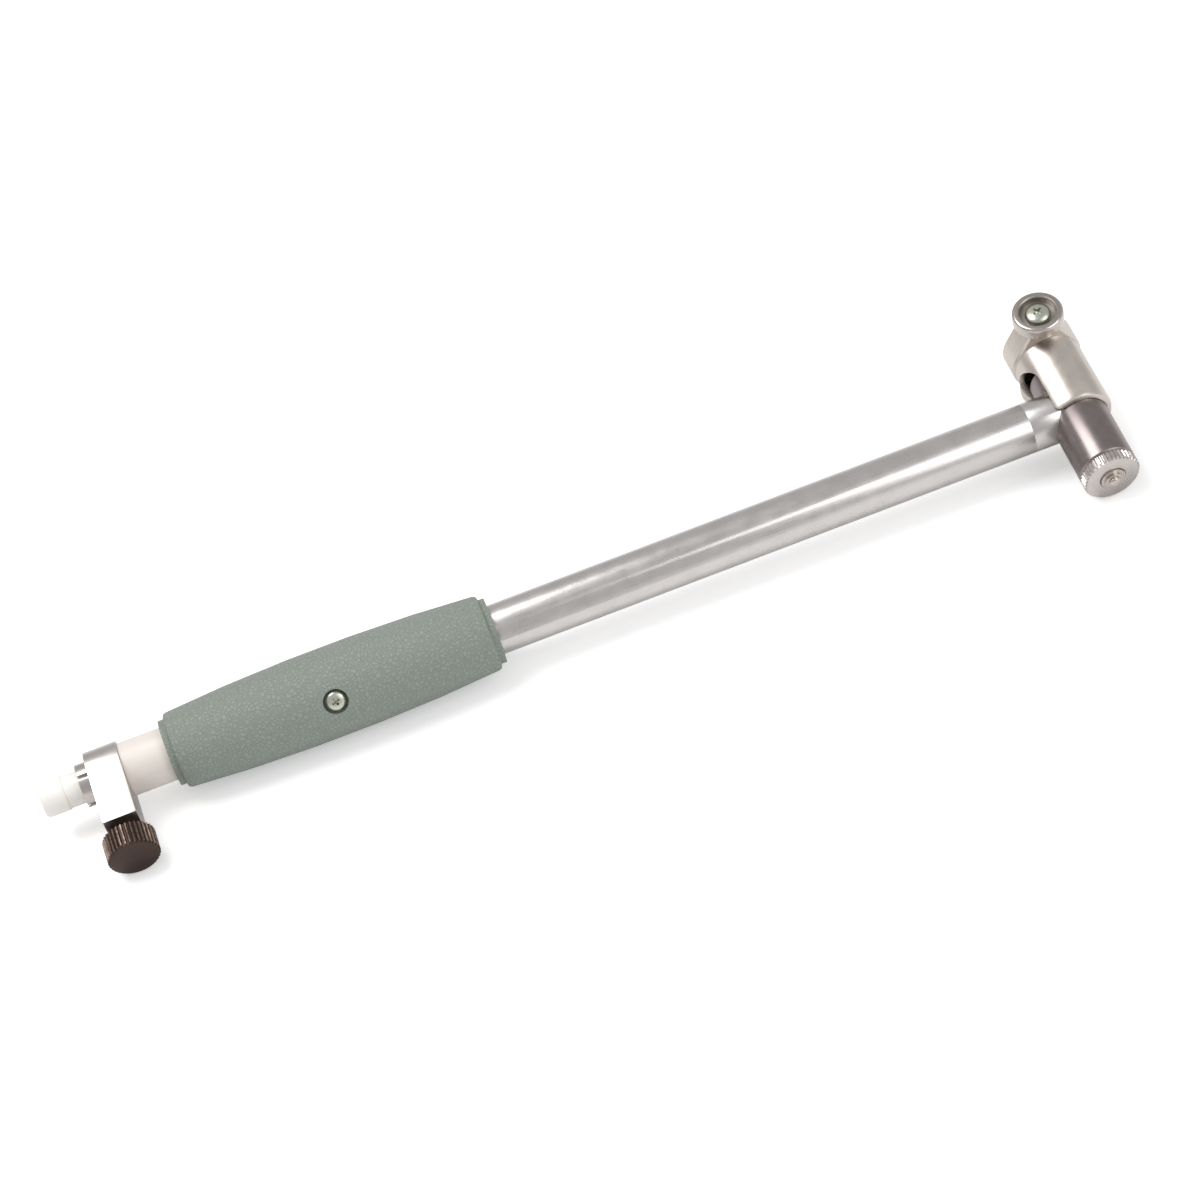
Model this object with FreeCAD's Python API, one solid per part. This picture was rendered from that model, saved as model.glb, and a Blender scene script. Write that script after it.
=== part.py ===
import FreeCAD, Part
import math
import os

# A dial bore gauge, without its indicator, lying on a bench.
#
# It is built in its own axes and laid down at the end. X runs along the tube towards the
# head, Y along the measuring line from the anvil to the moving contact, and Z along the
# axles of the two centring wheels. All three cross at the middle of the head.
# Sizes are in millimetres. "Handle side" is -X, and a place on the tube is given as a
# distance from the measuring line, counted towards the handle.

# Fits: clearance on a radius, or a gap between two faces
RUNNING_FIT = 0.05
SLIDING_FIT = 0.08
LOOSE_FIT = 0.35
CONTACT_GAP = 0.10

# Screw heads, as shares of their height and radius, and steps along a rounded edge
PAN_RIM = 0.5
PAN_FACE = 0.6
ROUND_STEPS = 2

# Head: a steel cylinder on the measuring line, with a spigot for the tube
HEAD_R = 6.9
HEAD_FRONT = 10.5
HEAD_BACK = 19.3
HEAD_CHAMFER = 0.4
SPIGOT_R = 4.5
SPIGOT_END = 24.0

# Moving contact, bell crank and push rod
CONTACT_TRAVEL = 1.6
PLUNGER_R = 2.0
PLUNGER_FLANGE_R = 2.6
PLUNGER_FLANGE = 1.0
PLUNGER_END = 24.0
TIP_R = 1.8
TIP_REACH = 26.3
TIP_ROUND = 0.9
GUIDE_R = 3.4
GUIDE_END = 20.5
LEVER_ARM = 4.6
LEVER_END_R = 1.2
LEVER_HUB_R = 1.5
LEVER_ROOT_R = 0.8
LEVER_NECK_R = 0.6
LEVER_PLATE = 2.6
LEVER_PIN_R = 0.8
ROD_R = 1.25
ROD_END = 227.0
ROD_COLLAR_R = 3.4
ROD_COLLAR = 2.0

# Centring bridge: a barrel that slides on the head, with a crossbar and two wheels
BRIDGE_TRAVEL = 5.0
BARREL_R = 8.3
BARREL_END = 3.0
BARREL_RIM = 1.0
CROSSBAR_BASE = 16.5
CROSSBAR_THICK = 7.0
CROSSBAR_HALF = 11.0
CROSSBAR_NOSE_R = 8.7
CROSSBAR_TAPER_DEG = 31.0
SLOT_TOP = 13.9
SPRING_POCKET_R = 5.2
SPRING_POCKET = 3.5
STOP_R = 0.8
STOP_PLACE = 8.0
STOP_DEPTH = 1.0
CROSSBAR_CHAMFER = 0.5

# Wheels
WHEEL_R = 6.1
WHEEL_THICK = 3.7
WHEEL_RIM = 0.8
WHEEL_GAP = 0.2
WHEEL_RECESS_R = 4.3
WHEEL_RECESS = 2.0
WHEEL_AXLE_R = 2.2
WHEEL_SCREW_R = 1.5
WHEEL_SCREW_HEAD_R = 3.05
WHEEL_SCREW_HEAD = 1.8
WHEEL_SCREW_DEPTH = 5.0

# Anvil and its lock nut
ANVIL_R = 3.0
ANVIL_DEPTH = 10.8
ANVIL_STEP_R = 2.2
ANVIL_STEP = 0.5
ANVIL_POINT_R = 1.4
ANVIL_POINT_ROUND = 0.6
ANVIL_REACH = 24.0
NUT_THICK = 2.85
NUT_R = 6.9

# Tube and collar
TUBE_R = 6.0
TUBE_SEAM = 12.1
TUBE_END = 235.4

# Grip: two half shells on the tube
GRIP_START = 145.4
GRIP_LENGTH = 80.3
GRIP_LIP = 1.4
GRIP_LIP_R = 7.9
GRIP_SHOULDER_R = 9.15
GRIP_MIDDLE_R = 10.65
GRIP_SHOULDER_ROUND = 0.9
GRIP_STEPS = 5
GRIP_SCREW_DEG = 39.3
GRIP_RECESS_R = 3.0
GRIP_RECESS = 2.0
GRIP_SCREW_R = 1.5
GRIP_SCREW_HEAD_R = 2.5
GRIP_SCREW_HEAD = 1.7

# Neck sleeve, collet and plug
NECK_R = 6.45
NECK_HOLD = 6.0
NECK_END_GAP = 1.0
COLLET_R = 5.15
COLLET_END = 247.2
COLLET_INNER_END = 215.0
COLLET_BORE_R = 4.0
COLLET_DEPTH = 24.0
COLLET_SLOT = 1.0
COLLET_SLOT_LENGTH = 16.0
COLLET_SLOT_DEG = 12.0
PLUG_HEAD_R = 4.2
PLUG_HEAD = 5.9
PLUG_SHANK_END = 230.5
PLUG_END = 257.0
PLUG_CHAMFER = 0.7

# Clamp ring and knob
RING_R = 7.1
RING_WIDTH = 8.0
RING_TAB = 16.5
RING_TAB_HALF = 6.3
PAD_THICK = 1.0
KNOB_SHANK_R = 2.0
KNOB_HUB_R = 3.6
KNOB_HUB = 1.5
KNOB_R = 6.2
KNOB_THICK = 6.2

# Straight knurl on the knob and on the anvil nut
KNURL_PITCH = 1.1
KNURL_DEPTH = 0.4

# Springs
SPRING_WIRE = 0.6
BRIDGE_SPRING_TURNS = 3
ROD_SPRING_R = 2.4
ROD_SPRING = 10.0
ROD_SPRING_TURNS = 4
COIL_STEPS = 12

# Places that follow from the sizes above
GRIP_SCREW_TURN = math.radians(GRIP_SCREW_DEG)
PARTING = FreeCAD.Vector(0, -math.cos(GRIP_SCREW_TURN), math.sin(GRIP_SCREW_TURN))
LEVER_LEAD = math.asin(CONTACT_TRAVEL / 2 / LEVER_ARM)
PLUNGER_BACK = LEVER_ARM + CONTACT_TRAVEL / 2 + LEVER_END_R + CONTACT_GAP
FLANGE_FRONT = PLUNGER_BACK + PLUNGER_FLANGE + CONTACT_GAP
ROD_TIP = PLUNGER_BACK - CONTACT_TRAVEL
GRIP_END = GRIP_START + GRIP_LENGTH
GRIP_CENTRE = GRIP_START + GRIP_LENGTH / 2
RING_START = TUBE_END + NECK_END_GAP
RING_CENTRE = RING_START + RING_WIDTH / 2
WHEEL_Y = CROSSBAR_BASE + CROSSBAR_THICK / 2
WHEEL_INNER = CROSSBAR_HALF + WHEEL_GAP
WHEEL_OUTER = WHEEL_INNER + WHEEL_THICK
WHEEL_FLOOR = WHEEL_OUTER - WHEEL_RECESS
SLOT_HALF = TUBE_R + LOOSE_FIT
RECESS_FLOOR = GRIP_MIDDLE_R - GRIP_RECESS
ROD_COLLAR_END = COLLET_INNER_END - ROD_SPRING

X_AXIS = FreeCAD.Vector(1, 0, 0)
Y_AXIS = FreeCAD.Vector(0, 1, 0)
Z_AXIS = FreeCAD.Vector(0, 0, 1)
TO_HANDLE = FreeCAD.Vector(-1, 0, 0)
TO_ANVIL = FreeCAD.Vector(0, -1, 0)


def aimed(shape, direction, centre=FreeCAD.Vector()):
    """Turn a shape made along Z to a direction, about the origin, and move it to a centre."""
    turn = FreeCAD.Rotation(Z_AXIS, direction)
    shape.Placement = FreeCAD.Placement(centre, turn).multiply(shape.Placement)
    return shape


def bar(radius, start, end, direction, centre=FreeCAD.Vector()):
    """A round bar between two places along a direction."""
    shape = Part.makeCylinder(radius, end - start, FreeCAD.Vector(0, 0, start))
    return aimed(shape, direction, centre)


def sleeve(inner, outer, start, end, direction, centre=FreeCAD.Vector()):
    """A round bar with a bore."""
    return bar(outer, start, end, direction, centre).cut(bar(inner, start, end, direction, centre))


def turned(outline, direction, centre=FreeCAD.Vector()):
    """A solid of revolution from corners given as place along the axis and radius."""
    points = [FreeCAD.Vector(radius, 0, place) for place, radius in outline]
    face = Part.Face(Part.makePolygon(points + points[:1]))
    return aimed(face.revolve(FreeCAD.Vector(), Z_AXIS, 360), direction, centre)


def block(low, high):
    """A box between two opposite corners."""
    size = [end - start for start, end in zip(low, high)]
    return Part.makeBox(*size, FreeCAD.Vector(*low))


def round_start(place, radius, size):
    """Corners of a turned outline along a rounded edge, from its start face out to its radius."""
    turns = [math.pi / 2 * step / ROUND_STEPS for step in range(ROUND_STEPS + 1)]
    return [(place + size * (1 - math.cos(turn)), radius - size * (1 - math.sin(turn))) for turn in turns]


def round_end(place, radius, size):
    """The same along the rounded edge of an end face, from its radius in to the face."""
    return [(2 * place - along, reach) for along, reach in reversed(round_start(place, radius, size))]


def link(start, end, start_r, end_r, thickness):
    """A flat link in the XY plane: two round ends and the straight sides that touch both."""
    along = end - start
    lean = math.acos((start_r - end_r) / along.Length)
    heading = math.atan2(along.y, along.x)
    corners = []
    for centre, radius, side in ((start, start_r, 1), (end, end_r, 1), (end, end_r, -1), (start, start_r, -1)):
        angle = heading + side * lean
        corners.append(centre + FreeCAD.Vector(math.cos(angle), math.sin(angle), 0) * radius)
    sides = Part.Face(Part.makePolygon(corners + corners[:1])).extrude(Z_AXIS * thickness)
    sides.translate(Z_AXIS * (-thickness / 2))
    ends = [bar(radius, -thickness / 2, thickness / 2, Z_AXIS, centre)
            for centre, radius in ((start, start_r), (end, end_r))]
    return sides.fuse(ends)


def knurl(radius, start, end, direction):
    """A ribbed bar with straight V grooves, as a straight knurling tool leaves it."""
    count = round(2 * math.pi * radius / KNURL_PITCH)
    points = []
    for step in range(2 * count):
        reach = radius - KNURL_DEPTH * (step % 2)
        angle = math.pi * step / count
        points.append(FreeCAD.Vector(reach * math.cos(angle), reach * math.sin(angle), start))
    ribbed = Part.Face(Part.makePolygon(points + points[:1])).extrude(Z_AXIS * (end - start))
    return aimed(ribbed, direction)


def coil(radius, start, end, turns, direction):
    """A helical spring between two places along a direction, as flats between square sections."""
    half = SPRING_WIRE / 2
    rise = (end - start - SPRING_WIRE) / (turns * COIL_STEPS)
    section = Part.makePolygon([FreeCAD.Vector(radius + x, 0, start + half + z) for x, z in (
        (-half, -half), (half, -half), (half, half), (-half, half), (-half, -half))])
    sections = []
    for step in range(turns * COIL_STEPS + 1):
        placed = section.copy()
        placed.rotate(FreeCAD.Vector(), Z_AXIS, 360 * step / COIL_STEPS)
        placed.translate(Z_AXIS * rise * step)
        sections.append(placed)
    return aimed(Part.makeLoft(sections, True, True), direction)


def head_body():
    """The head cylinder with its spigot, anvil thread, guide bore and lever slot."""
    shape = turned([(-HEAD_BACK, 0), (-HEAD_BACK, HEAD_R - HEAD_CHAMFER), (-HEAD_BACK + HEAD_CHAMFER, HEAD_R),
                    (HEAD_FRONT, HEAD_R), (HEAD_FRONT, 0)], Y_AXIS)
    shape = shape.fuse(bar(SPIGOT_R, 0, SPIGOT_END, TO_HANDLE))
    slot_half = LEVER_PLATE / 2 + 2 * CONTACT_GAP
    pivot_reach = LEVER_HUB_R + 2 * CONTACT_GAP
    swing_reach = LEVER_END_R + 2 * LOOSE_FIT
    cuts = [
        bar(ANVIL_R, HEAD_BACK - ANVIL_DEPTH, HEAD_BACK, TO_ANVIL),
        bar(GUIDE_R, LEVER_ARM - LEVER_END_R, HEAD_FRONT, Y_AXIS),
        block((-LEVER_ARM - pivot_reach, -swing_reach, -slot_half), (HEAD_R, LEVER_ARM + pivot_reach, slot_half)),
        block((-PLUNGER_BACK - CONTACT_GAP, -swing_reach, -slot_half), (0, swing_reach, slot_half)),
        bar(ROD_R + RUNNING_FIT, 0, SPIGOT_END, TO_HANDLE),
        bar(LEVER_PIN_R, -HEAD_R, HEAD_R, Z_AXIS, lever_pivot()),
        stop_groove(),
    ]
    return shape.cut(cuts)


def lever_pivot():
    """The crank's pivot: its arms lie square to their rods at half travel."""
    return FreeCAD.Vector(-LEVER_ARM, LEVER_ARM, 0)


def stop_groove():
    """The groove that the bridge's stop screw runs in."""
    half = STOP_R + RUNNING_FIT
    floor = HEAD_R - STOP_DEPTH - LOOSE_FIT
    run = block((-half, STOP_PLACE - BRIDGE_TRAVEL, -HEAD_R), (half, STOP_PLACE, -floor))
    ends = [bar(half, floor, HEAD_R, -Z_AXIS, FreeCAD.Vector(0, place, 0))
            for place in (STOP_PLACE - BRIDGE_TRAVEL, STOP_PLACE)]
    return run.fuse(ends)


def plunger_guide():
    """The long guide bush that carries the contact plunger."""
    return sleeve(PLUNGER_R + RUNNING_FIT, GUIDE_R, FLANGE_FRONT, GUIDE_END, Y_AXIS)


def contact_plunger():
    """The sliding plunger, with the flange that keeps it in."""
    flange_end = PLUNGER_BACK + PLUNGER_FLANGE
    return turned([(PLUNGER_BACK, 0), (PLUNGER_BACK, PLUNGER_FLANGE_R), (flange_end, PLUNGER_FLANGE_R),
                   (flange_end, PLUNGER_R), (PLUNGER_END, PLUNGER_R), (PLUNGER_END, 0)], Y_AXIS)


def contact_tip():
    """The hard tip that touches the bore, brazed to the plunger."""
    return turned([(PLUNGER_END, 0), (PLUNGER_END, TIP_R)] + round_end(TIP_REACH, TIP_R, TIP_ROUND)
                  + [(TIP_REACH, 0)], Y_AXIS)


def bell_crank():
    """The right-angled lever that turns the contact's travel into the rod's."""
    pivot = lever_pivot()
    across = FreeCAD.Vector(math.cos(LEVER_LEAD), math.sin(LEVER_LEAD), 0)
    down = FreeCAD.Vector(math.sin(LEVER_LEAD), -math.cos(LEVER_LEAD), 0)
    half = LEVER_PLATE / 2
    shape = bar(LEVER_HUB_R, -half, half, Z_AXIS, pivot)
    for way in (across, down):
        end = pivot + way * LEVER_ARM
        arm = link(pivot, end, LEVER_ROOT_R, LEVER_NECK_R, LEVER_PLATE)
        shape = shape.fuse([arm, bar(LEVER_END_R, -half, half, Z_AXIS, end)])
    hole = bar(LEVER_PIN_R + RUNNING_FIT, -half, half, Z_AXIS, pivot)
    return shape.removeSplitter().cut(hole)


def lever_pin():
    """The crank's pin, pressed into both cheeks of the head."""
    half = math.sqrt(HEAD_R ** 2 - LEVER_ARM ** 2) - CONTACT_GAP * 2
    return bar(LEVER_PIN_R, -half, half, Z_AXIS, lever_pivot())


def push_rod():
    """The long rod that carries the travel up the tube, with the collar that its spring pushes on."""
    rod = bar(ROD_R, ROD_TIP, ROD_END, TO_HANDLE)
    return rod.fuse(bar(ROD_COLLAR_R, ROD_COLLAR_END - ROD_COLLAR, ROD_COLLAR_END, TO_HANDLE))


def on_tube(place):
    """A point on the tube's axis."""
    return TO_HANDLE * place


def centering_bridge():
    """Barrel and crossbar, cast as one."""
    top = CROSSBAR_BASE + CROSSBAR_THICK
    barrel = turned([(-BARREL_END, 0)] + round_start(-BARREL_END, BARREL_R, BARREL_RIM)
                    + [(CROSSBAR_BASE, BARREL_R), (CROSSBAR_BASE, 0)], Y_AXIS)
    shape = barrel.fuse(crossbar())
    slot_centre = SLOT_TOP - SLOT_HALF
    cuts = [
        bar(HEAD_R + SLIDING_FIT, -BARREL_END, CROSSBAR_BASE, Y_AXIS),
        bar(SPRING_POCKET_R, CROSSBAR_BASE, CROSSBAR_BASE + SPRING_POCKET, Y_AXIS),
        bar(GUIDE_R + LOOSE_FIT, CROSSBAR_BASE, top, Y_AXIS),
        block((-BARREL_R, -BARREL_END, -SLOT_HALF), (0, slot_centre, SLOT_HALF)),
        bar(SLOT_HALF, 0, BARREL_R, TO_HANDLE, FreeCAD.Vector(0, slot_centre, 0)),
        bar(STOP_R, 0, BARREL_R, -Z_AXIS, FreeCAD.Vector(0, STOP_PLACE, 0)),
    ]
    for side in (Z_AXIS, -Z_AXIS):
        cuts.append(bar(WHEEL_SCREW_R, CROSSBAR_HALF - WHEEL_SCREW_DEPTH, CROSSBAR_HALF, side,
                        FreeCAD.Vector(0, WHEEL_Y, 0)))
    return shape.cut(cuts)


def crossbar():
    """The bar between the wheels: round in the middle, tapering to its two ends."""
    taper = math.radians(CROSSBAR_TAPER_DEG)
    touch = FreeCAD.Vector(CROSSBAR_NOSE_R * math.cos(taper), CROSSBAR_BASE, CROSSBAR_NOSE_R * math.sin(taper))
    end_half = CROSSBAR_NOSE_R / math.cos(taper) - CROSSBAR_HALF * math.tan(taper)
    nose = FreeCAD.Vector(CROSSBAR_NOSE_R, CROSSBAR_BASE, 0)
    end = FreeCAD.Vector(end_half, CROSSBAR_BASE, CROSSBAR_HALF)

    def flip(point, x_sign, z_sign):
        return FreeCAD.Vector(point.x * x_sign, point.y, point.z * z_sign)

    edges = []
    for sign in (1, -1):
        edges += [
            Part.Arc(flip(touch, sign, -1), flip(nose, sign, 1), flip(touch, sign, 1)).toShape(),
            Part.LineSegment(flip(touch, sign, 1), flip(end, sign, 1)).toShape(),
            Part.LineSegment(flip(touch, sign, -1), flip(end, sign, -1)).toShape(),
            Part.LineSegment(flip(end, 1, sign), flip(end, -1, sign)).toShape(),
        ]
    wire = Part.Wire(Part.sortEdges(edges)[0])
    shape = Part.Face(wire).extrude(Y_AXIS * CROSSBAR_THICK)
    edges = [edge for edge in shape.Edges if abs(edge.CenterOfMass.y - WHEEL_Y) > CROSSBAR_THICK / 4]
    return shape.makeChamfer(CROSSBAR_CHAMFER, edges)


def bridge_stop():
    """The headless screw that keeps the bridge on the head."""
    return bar(STOP_R, HEAD_R - STOP_DEPTH, BARREL_R - CONTACT_GAP, -Z_AXIS, FreeCAD.Vector(0, STOP_PLACE, 0))


def wheel(side):
    """A centring wheel with a rounded rim and a recess for its screw."""
    bore = WHEEL_AXLE_R + RUNNING_FIT
    return turned([(WHEEL_INNER, bore)] + round_start(WHEEL_INNER, WHEEL_R, WHEEL_RIM)
                  + round_end(WHEEL_OUTER, WHEEL_R, WHEEL_RIM)
                  + [(WHEEL_OUTER, WHEEL_RECESS_R), (WHEEL_FLOOR, WHEEL_RECESS_R), (WHEEL_FLOOR, bore)],
                  side, FreeCAD.Vector(0, WHEEL_Y, 0))


def wheel_screw(side):
    """The shoulder screw that a wheel turns on."""
    seat = WHEEL_FLOOR + CONTACT_GAP
    thread_end = CROSSBAR_HALF - WHEEL_SCREW_DEPTH
    return turned([(thread_end, 0), (thread_end, WHEEL_SCREW_R), (CROSSBAR_HALF, WHEEL_SCREW_R),
                   (CROSSBAR_HALF, WHEEL_AXLE_R), (seat, WHEEL_AXLE_R)]
                  + pan_head(seat, WHEEL_SCREW_HEAD_R, WHEEL_SCREW_HEAD), side, FreeCAD.Vector(0, WHEEL_Y, 0))


def pan_head(seat, radius, height):
    """The turned outline of a low screw head, from its seat to its middle."""
    top = seat + height
    return [(seat, radius), (seat + height * PAN_RIM, radius), (top, radius * PAN_FACE), (top, 0)]


def anvil():
    """The interchangeable anvil, screwed into the head, with its stepped point."""
    bottom = HEAD_BACK - ANVIL_DEPTH + LOOSE_FIT
    first_step = HEAD_BACK + NUT_THICK + ANVIL_STEP
    second_step = first_step + ANVIL_STEP
    return turned([(bottom, 0), (bottom, ANVIL_R), (first_step, ANVIL_R), (first_step, ANVIL_STEP_R),
                   (second_step, ANVIL_STEP_R), (second_step, ANVIL_POINT_R)]
                  + round_end(ANVIL_REACH, ANVIL_POINT_R, ANVIL_POINT_ROUND) + [(ANVIL_REACH, 0)], TO_ANVIL)


def anvil_nut():
    """The knurled nut that locks the anvil."""
    face = HEAD_BACK + NUT_THICK
    bore = bar(ANVIL_R + RUNNING_FIT, HEAD_BACK, face, TO_ANVIL)
    return knurl(NUT_R, HEAD_BACK, face, TO_ANVIL).cut(bore)


def tube_collar():
    """The collar between the tube and the head, cut to fit the head's side."""
    ring = sleeve(SPIGOT_R, TUBE_R, 0, TUBE_SEAM, TO_HANDLE)
    return ring.cut(bar(HEAD_R, -HEAD_BACK, HEAD_FRONT, Y_AXIS))


def stem_tube():
    """The long tube, tapped for the grip screws."""
    holes = [bar(GRIP_SCREW_R, 0, TUBE_R, way, on_tube(GRIP_CENTRE)) for way in (PARTING, -PARTING)]
    return sleeve(SPIGOT_R, TUBE_R, TUBE_SEAM, TUBE_END, TO_HANDLE).cut(holes)


def grip_outline():
    """The turned outline of the grip: a bulging middle with a low lip at each end."""
    start = GRIP_START + GRIP_LIP
    end = GRIP_END - GRIP_LIP
    bulge = []
    for step in range(1, GRIP_STEPS):
        share = 2 * step / GRIP_STEPS - 1
        radius = GRIP_MIDDLE_R - (GRIP_MIDDLE_R - GRIP_SHOULDER_R) * share ** 2
        bulge.append((GRIP_CENTRE + share * (end - start) / 2, radius))
    return ([(GRIP_START, 0), (GRIP_START, GRIP_LIP_R), (start, GRIP_LIP_R)]
            + round_start(start, GRIP_SHOULDER_R, GRIP_SHOULDER_ROUND) + bulge
            + round_end(end, GRIP_SHOULDER_R, GRIP_SHOULDER_ROUND)
            + [(end, GRIP_LIP_R), (GRIP_END, GRIP_LIP_R), (GRIP_END, 0)])


def grip_body():
    """Both grip shells in one, before they are parted."""
    cuts = [bar(TUBE_R, GRIP_START, GRIP_END, TO_HANDLE),
            bar(NECK_R, GRIP_END - NECK_HOLD, GRIP_END, TO_HANDLE)]
    for way in (PARTING, -PARTING):
        cuts.append(bar(GRIP_SCREW_R + RUNNING_FIT, 0, GRIP_MIDDLE_R, way, on_tube(GRIP_CENTRE)))
        cuts.append(bar(GRIP_RECESS_R, RECESS_FLOOR, GRIP_MIDDLE_R + GRIP_RECESS, way, on_tube(GRIP_CENTRE)))
    return turned(grip_outline(), TO_HANDLE).cut(cuts)


def grip_shell(side):
    """Half of the grip, on one side of the parting plane."""
    reach = GRIP_MIDDLE_R + GRIP_RECESS
    half = Part.makeBox(2 * reach, GRIP_LENGTH, reach, FreeCAD.Vector(-reach, -GRIP_LENGTH / 2, 0))
    frame = FreeCAD.Rotation(X_AXIS.cross(side), X_AXIS, side, "ZXY")
    half.Placement = FreeCAD.Placement(on_tube(GRIP_CENTRE), frame)
    return grip_body().common(half)


def grip_screw(side):
    """A screw that holds a grip shell, threaded into the tube's wall."""
    end = SPIGOT_R + CONTACT_GAP
    return turned([(end, 0), (end, GRIP_SCREW_R), (RECESS_FLOOR, GRIP_SCREW_R)]
                  + pan_head(RECESS_FLOOR, GRIP_SCREW_HEAD_R, GRIP_SCREW_HEAD), side, on_tube(GRIP_CENTRE))


def neck_sleeve():
    """The pale plastic sleeve between the grip and the clamp."""
    return sleeve(TUBE_R, NECK_R, GRIP_END - NECK_HOLD, RING_START, TO_HANDLE)


def collet():
    """The slotted end that holds the indicator's stem, on a spigot in the tube."""
    shape = bar(SPIGOT_R, COLLET_INNER_END, TUBE_END, TO_HANDLE)
    shape = shape.fuse(bar(COLLET_R, TUBE_END, COLLET_END, TO_HANDLE))
    slot_start = COLLET_END - COLLET_SLOT_LENGTH
    cuts = [bar(COLLET_BORE_R, COLLET_END - COLLET_DEPTH, COLLET_END, TO_HANDLE),
            bar(ROD_R + RUNNING_FIT, COLLET_INNER_END, COLLET_END, TO_HANDLE)]
    for angle in (COLLET_SLOT_DEG, COLLET_SLOT_DEG + 90):
        slot = block((-COLLET_END, -COLLET_SLOT / 2, -COLLET_R), (-slot_start, COLLET_SLOT / 2, COLLET_R))
        slot.rotate(FreeCAD.Vector(), X_AXIS, angle)
        cuts.append(slot)
    return shape.cut(cuts)


def plug():
    """The plastic plug that keeps the collet clean while no indicator is fitted."""
    head_start = PLUG_END - PLUG_HEAD
    shank_r = COLLET_BORE_R - RUNNING_FIT
    return turned([(PLUG_SHANK_END, 0), (PLUG_SHANK_END, shank_r), (head_start, shank_r), (head_start, PLUG_HEAD_R),
                   (PLUG_END - PLUG_CHAMFER, PLUG_HEAD_R), (PLUG_END, PLUG_HEAD_R - PLUG_CHAMFER), (PLUG_END, 0)],
                  TO_HANDLE)


def clamp_ring():
    """The ring round the collet and the tab that carries the clamp knob."""
    corners = [FreeCAD.Vector(-RING_START, y, z) for y, z in (
        (0, RING_R), (-RING_TAB, RING_TAB_HALF), (-RING_TAB, -RING_TAB_HALF), (0, -RING_R))]
    tab = Part.Face(Part.makePolygon(corners + corners[:1])).extrude(TO_HANDLE * RING_WIDTH)
    shape = bar(RING_R, RING_START, RING_START + RING_WIDTH, TO_HANDLE).fuse(tab)
    cuts = [bar(COLLET_R + RUNNING_FIT, RING_START, RING_START + RING_WIDTH, TO_HANDLE),
            bar(KNOB_SHANK_R, 0, RING_TAB, TO_ANVIL, on_tube(RING_CENTRE))]
    return shape.cut(cuts)


def clamp_pad():
    """The pad that the clamp screw presses on the collet."""
    pad = bar(KNOB_SHANK_R - RUNNING_FIT, 0, COLLET_R + PAD_THICK, TO_ANVIL, on_tube(RING_CENTRE))
    return pad.cut(bar(COLLET_R, RING_START, RING_START + RING_WIDTH, TO_HANDLE))


def clamp_knob():
    """The knurled clamp screw."""
    seat = RING_TAB + CONTACT_GAP
    base = seat + KNOB_HUB
    shank = bar(KNOB_SHANK_R - RUNNING_FIT, COLLET_R + PAD_THICK + CONTACT_GAP, seat, TO_ANVIL)
    knob = knurl(KNOB_R, base, base + KNOB_THICK, TO_ANVIL).fuse([bar(KNOB_HUB_R, seat, base, TO_ANVIL), shank])
    knob.translate(on_tube(RING_CENTRE))
    return knob


def bridge_spring():
    """The spring that pushes the bridge out past the contact."""
    radius = (GUIDE_R + SPRING_POCKET_R) / 2
    return coil(radius, HEAD_FRONT, CROSSBAR_BASE + SPRING_POCKET, BRIDGE_SPRING_TURNS, Y_AXIS)


def return_spring():
    """The spring that holds the rod against the crank, and the contact out."""
    return coil(ROD_SPRING_R, ROD_COLLAR_END, COLLET_INNER_END, ROD_SPRING_TURNS, TO_HANDLE)


def build_pieces():
    """Every piece by the name of its node, in the gauge's own axes."""
    return {
        "head_body": head_body(),
        "tube_collar": tube_collar(),
        "stem_tube": stem_tube(),
        "plunger_guide": plunger_guide(),
        "contact_plunger": contact_plunger(),
        "contact_tip": contact_tip(),
        "bell_crank": bell_crank(),
        "lever_pin": lever_pin(),
        "push_rod": push_rod(),
        "return_spring": return_spring(),
        "centering_bridge": centering_bridge(),
        "bridge_stop": bridge_stop(),
        "bridge_spring": bridge_spring(),
        "wheel_near": wheel(Z_AXIS),
        "wheel_far": wheel(-Z_AXIS),
        "wheel_screw_near": wheel_screw(Z_AXIS),
        "wheel_screw_far": wheel_screw(-Z_AXIS),
        "anvil": anvil(),
        "anvil_nut": anvil_nut(),
        "grip_front": grip_shell(PARTING),
        "grip_back": grip_shell(-PARTING),
        "grip_screw_front": grip_screw(PARTING),
        "grip_screw_back": grip_screw(-PARTING),
        "neck_sleeve": neck_sleeve(),
        "collet": collet(),
        "clamp_ring": clamp_ring(),
        "clamp_pad": clamp_pad(),
        "clamp_knob": clamp_knob(),
        "plug": plug(),
    }


def rest_turn():
    """How the gauge lies: on the far wheel's face edge, the anvil nut and the clamp knob."""
    wheel_y = WHEEL_Y - (WHEEL_R - WHEEL_RIM)
    nut_y = -(HEAD_BACK + NUT_THICK)
    knob_y = -(RING_TAB + CONTACT_GAP + KNOB_HUB + KNOB_THICK)
    roll = math.atan2(WHEEL_OUTER - NUT_R, wheel_y - nut_y)
    knob_height = (knob_y - nut_y) * math.sin(roll) + (NUT_R - KNOB_R) * math.cos(roll)
    pitch = -math.atan(knob_height / RING_CENTRE)
    print("roll", round(math.degrees(roll), 4), "pitch", round(math.degrees(pitch), 4))
    across = FreeCAD.Rotation(X_AXIS, math.degrees(roll))
    return FreeCAD.Rotation(Y_AXIS, math.degrees(pitch)).multiply(across)


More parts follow.
